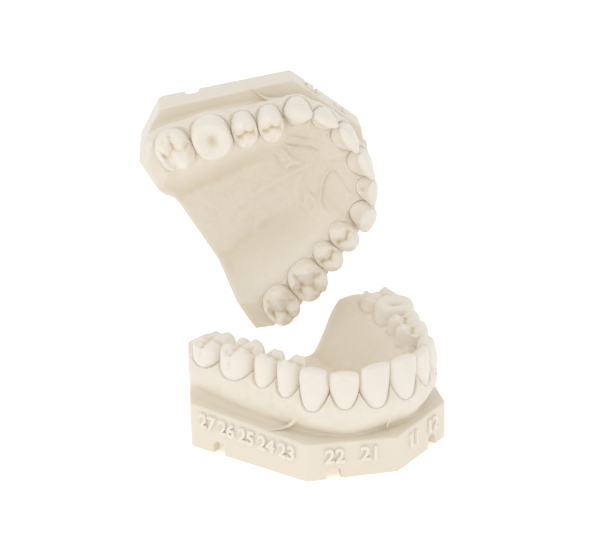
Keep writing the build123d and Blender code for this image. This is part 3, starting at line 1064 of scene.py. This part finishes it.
def gum_painted_light(hollow, points):
    """Softer painted highlight on the gum's edges, even painted shade along its foot, and no
    painted shade or highlight on the sawn faces.
    """
    hollow = np.where(hollow < 0, GUM_PAINTED_HIGHLIGHT_SHARE * hollow, GUM_PAINTED_SHADE_SHARE * hollow)
    x, y, height = points.T
    foot = LEDGE_FRONT + LEDGE_RISE * y
    above = ease((height - foot - 0.4) / 2.2)
    outside = y < arch_y_at(x) + FOOT_BAND
    # Painted shade along the gum's foot, where it meets the ledge
    hollow = np.where(outside, hollow * above + FOOT_PAINTED_SHADE * (1 - above), hollow)
    point, front, heel, rear = base_corners()
    run = np.array([rear[0] - heel[0], rear[1] - heel[1]])
    run = run / np.hypot(*run)
    off_heel = (np.abs(x) - heel[0]) * run[1] - (y - heel[1]) * run[0]
    sawn = (np.abs(off_heel) < SAWN_TOLERANCE) | (y > rear_y() - SAWN_TOLERANCE)
    return np.where(sawn, 0.0, hollow)


def number_painted_light(hollow, points):
    """Even painted highlight all over the numbers."""
    return np.full(len(points), NUMBER_PAINTED_HIGHLIGHT)


def make_teeth(numbers, cuts, settings):
    """Teeth of the given numbers on both sides of both casts."""
    material = tooth_resin(settings)
    for cast in CASTS:
        for number in numbers:
            for side in SIDES:
                name = f"{cast}_tooth_{1 if side > 0 else 2}{number}"
                piece = object_from(crown_bmesh(number, side, cuts), f"{name}_crown")
                finish_piece(piece, cast, name, name, material,
                             tooth_margin_painted_shade(number, side))


class CAST_OT_front_teeth(bpy.types.Operator):
    """Make the incisors and canines"""

    bl_idname = "cast.front_teeth"
    bl_label = "Front teeth"

    def execute(self, context):
        make_teeth(FRONT_TEETH, context.scene.cast_sizes.crown_cuts, context.scene.cast_finish)
        return {"FINISHED"}


class CAST_OT_premolars(bpy.types.Operator):
    """Make the premolars"""

    bl_idname = "cast.premolars"
    bl_label = "Premolars"

    def execute(self, context):
        make_teeth((4, 5), context.scene.cast_sizes.crown_cuts + 8, context.scene.cast_finish)
        return {"FINISHED"}


class CAST_OT_molars(bpy.types.Operator):
    """Make the molars"""

    bl_idname = "cast.molars"
    bl_label = "Molars"

    def execute(self, context):
        make_teeth((6, 7), context.scene.cast_sizes.crown_cuts + 16, context.scene.cast_finish)
        return {"FINISHED"}


class CAST_OT_gums(bpy.types.Operator):
    """Make the gum ridge and palate of each cast, with a pocket for each tooth"""

    bl_idname = "cast.gums"
    bl_label = "Gums and palates"

    def execute(self, context):
        sizes = context.scene.cast_sizes
        shape = object_from(gum_bmesh(sizes), "gum_shape")
        for side in SIDES:
            fold = fold_on_arch(SIDE_FOLD, side, SIDE_FOLD_WIDTHS)
            combine(shape, object_from(fold, "fold"), "UNION")
        fold = fold_on_arch(FRONT_FOLD, 1, FRONT_FOLD_WIDTHS)
        combine(shape, object_from(fold, "fold"), "UNION")
        for number in TEETH:
            for side in SIDES:
                pocket = crown_bmesh(number, side, 31, CROWN_CLEARANCE)
                combine(shape, object_from(pocket, "pocket"), "DIFFERENCE")
        material = gum_resin(context.scene.cast_finish)
        for cast in CASTS:
            node = f"{cast}_gum_and_palate"
            piece = bpy.data.objects.new(f"{node}_relief", shape.data.copy())
            context.scene.collection.objects.link(piece)
            finish_piece(piece, cast, node, f"{cast}_cast", material, gum_painted_light)
        bpy.data.objects.remove(shape)
        return {"FINISHED"}


class CAST_OT_bases(bpy.types.Operator):
    """Give the two bases their resin"""

    bl_idname = "cast.bases"
    bl_label = "Bases"

    def execute(self, context):
        material = base_resin(context.scene.cast_finish)
        for cast in CASTS:
            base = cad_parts[f"{cast}_base"]
            base.data.materials.clear()
            base.data.materials.append(material)
        return {"FINISHED"}


FACE_NUMBERS = (
    # corner the numbers start from, corner they run to, side of the cast, numbers
    (2, 1, -1, ("27", "26", "25", "24", "23")),
    (1, 0, -1, ("22", "21")),
    (0, 1, 1, ("11", "12")),
)
NUMBER_MARGIN = 2.6
NUMBER_TOP = 1.5
NUMBER_SINK = 0.2
NUMBER_ROUND = 0.19


def number_mesh(text, height, relief):
    """Mesh of one raised number, its middle at the origin, standing on the XY plane."""
    curve = bpy.data.curves.new("number", "FONT")
    curve.body = text
    curve.size = height / 0.72
    curve.align_x = "CENTER"
    curve.extrude = relief / 2 - NUMBER_ROUND
    curve.bevel_depth = NUMBER_ROUND
    curve.bevel_resolution = 2
    curve.resolution_u = 4
    holder = bpy.data.objects.new("number", curve)
    bpy.context.scene.collection.objects.link(holder)
    graph = bpy.context.evaluated_depsgraph_get()
    mesh = bpy.data.meshes.new_from_object(holder.evaluated_get(graph))
    bpy.data.objects.remove(holder)
    bpy.data.curves.remove(curve)
    return mesh


class CAST_OT_numbers(bpy.types.Operator):
    """Make the raised tooth numbers on the faces of each base"""

    bl_idname = "cast.numbers"
    bl_label = "Raised numbers"

    def execute(self, context):
        sizes = context.scene.cast_sizes
        height = sizes.number_height / MM
        relief = sizes.number_relief / MM
        corners = base_corners()
        bm = bmesh.new()
        for start, end, side, numbers in FACE_NUMBERS:
            first = Vector((side * corners[start][0], corners[start][1], 0))
            last = Vector((side * corners[end][0], corners[end][1], 0))
            along = (last - first).normalized()
            outward = along.cross(Vector((0, 0, 1)))
            span = (last - first).length - 2 * NUMBER_MARGIN
            for index, text in enumerate(numbers):
                share = (index + 0.5) / len(numbers)
                foot = first + along * (NUMBER_MARGIN + span * share)
                ledge = LEDGE_FRONT + LEDGE_RISE * foot.y
                foot.z = ledge - NUMBER_TOP - height
                tilt = Vector((along.x, along.y, LEDGE_RISE * along.y)).normalized()
                up = outward.cross(tilt)
                turn = Matrix((tilt, up, outward)).transposed().to_4x4()
                mesh = number_mesh(text, height, relief)
                rise = Matrix.Translation((0, 0, relief / 2 - NUMBER_SINK))
                mesh.transform(Matrix.Translation(foot) @ turn @ rise)
                bm.from_mesh(mesh)
                bpy.data.meshes.remove(mesh)
        bmesh.ops.remove_doubles(bm, verts=bm.verts[:], dist=1e-4)
        shape = object_from(bm, "numbers")
        material = base_resin(context.scene.cast_finish)
        for cast in CASTS:
            piece = bpy.data.objects.new(f"{cast}_base_numbers", shape.data.copy())
            context.scene.collection.objects.link(piece)
            finish_piece(piece, cast, None, f"{cast}_cast", material,
                         number_painted_light)
        bpy.data.objects.remove(shape)
        return {"FINISHED"}


# Stage ------------------------------------------------------------------------------------

CAMERA_PLACE = (-225.8, -305.6, 197.6)
CAMERA_AHEAD = (0.5097, 0.7827, -0.3570)
CAMERA_RIGHT = (0.8335, -0.5521, -0.0204)
CAMERA_LENS = 100.1
FLOOR_SIZE = 6.0


class CAST_OT_stage(bpy.types.Operator):
    """Make the floor, the even light and the camera"""

    bl_idname = "cast.stage"
    bl_label = "Stage"

    def execute(self, context):
        scene = context.scene
        finish = scene.cast_finish
        bm = bmesh.new()
        bmesh.ops.create_grid(bm, x_segments=1, y_segments=1, size=FLOOR_SIZE)
        floor = object_from(bm, "floor")
        material = bpy.data.materials.new("Floor")
        material.use_nodes = True
        shader = material.node_tree.nodes["Principled BSDF"]
        shader.inputs["Base Color"].default_value = (*finish.floor_colour, 1.0)
        shader.inputs["Roughness"].default_value = 1.0
        shader.inputs["Specular IOR Level"].default_value = 0.0
        shader.inputs["Emission Color"].default_value = (1.0, 1.0, 1.0, 1.0)
        shader.inputs["Emission Strength"].default_value = 0.3
        floor.data.materials.append(material)

        world = bpy.data.worlds.new("Even light")
        world.use_nodes = True
        sky = world.node_tree.nodes["Background"]
        sky.inputs["Color"].default_value = (1.0, 1.0, 1.0, 1.0)
        sky.inputs["Strength"].default_value = finish.sky_strength
        scene.world = world
        scene.view_settings.view_transform = "Standard"
        scene.cycles.diffuse_bounces = 10

        low, high = CAD_BOX
        middle = (low + high) / 2
        lamp = bpy.data.lights.new("Soft lamp", "AREA")
        lamp.energy = finish.lamp_power
        lamp.size = 0.5
        holder = bpy.data.objects.new("Soft lamp", lamp)
        holder.location = middle + Vector((-0.25, -0.10, 0.45))
        holder.rotation_mode = "QUATERNION"
        holder.rotation_quaternion = (middle - holder.location).to_track_quat("-Z", "Y")
        scene.collection.objects.link(holder)

        camera = bpy.data.cameras.new("Camera")
        camera.lens = CAMERA_LENS
        camera.sensor_width = 36.0
        camera.clip_start = 0.01
        camera.clip_end = 20.0
        viewer = bpy.data.objects.new("Camera", camera)
        right = Vector(CAMERA_RIGHT).normalized()
        ahead = Vector(CAMERA_AHEAD).normalized()
        up = right.cross(ahead).normalized()
        turn = Matrix((right, up, -ahead)).transposed().to_4x4()
        place = cast_matrix("standing") @ Vector(CAMERA_PLACE)
        viewer.matrix_world = Matrix.Translation(place) @ turn
        scene.collection.objects.link(viewer)
        scene.camera = viewer
        return {"FINISHED"}


class CAST_PT_panel(bpy.types.Panel):
    """Sidebar panel of the casts"""

    bl_idname = "CAST_PT_panel"
    bl_label = "Practice casts"
    bl_space_type = "VIEW_3D"
    bl_region_type = "UI"
    bl_category = "Casts"

    def draw(self, context):
        layout = self.layout
        for group in (context.scene.cast_sizes, context.scene.cast_finish):
            for name in group.__annotations__:
                layout.prop(group, name)
        for operator in OPERATORS:
            layout.operator(operator.bl_idname)


OPERATORS = (
    CAST_OT_stage,
    CAST_OT_bases,
    CAST_OT_gums,
    CAST_OT_front_teeth,
    CAST_OT_premolars,
    CAST_OT_molars,
    CAST_OT_numbers,
)
CLASSES = (CastSizes, CastFinish, *OPERATORS, CAST_PT_panel)


def register():
    for item in CLASSES:
        bpy.utils.register_class(item)
    bpy.types.Scene.cast_sizes = PointerProperty(type=CastSizes)
    bpy.types.Scene.cast_finish = PointerProperty(type=CastFinish)


def unregister():
    del bpy.types.Scene.cast_finish
    del bpy.types.Scene.cast_sizes
    for item in reversed(CLASSES):
        bpy.utils.unregister_class(item)


def main():
    register()
    bpy.ops.cast.stage()
    bpy.ops.cast.bases()
    bpy.ops.cast.gums()
    bpy.ops.cast.front_teeth()
    bpy.ops.cast.premolars()
    bpy.ops.cast.molars()
    bpy.ops.cast.numbers()


if __name__ == "__main__":
    main()
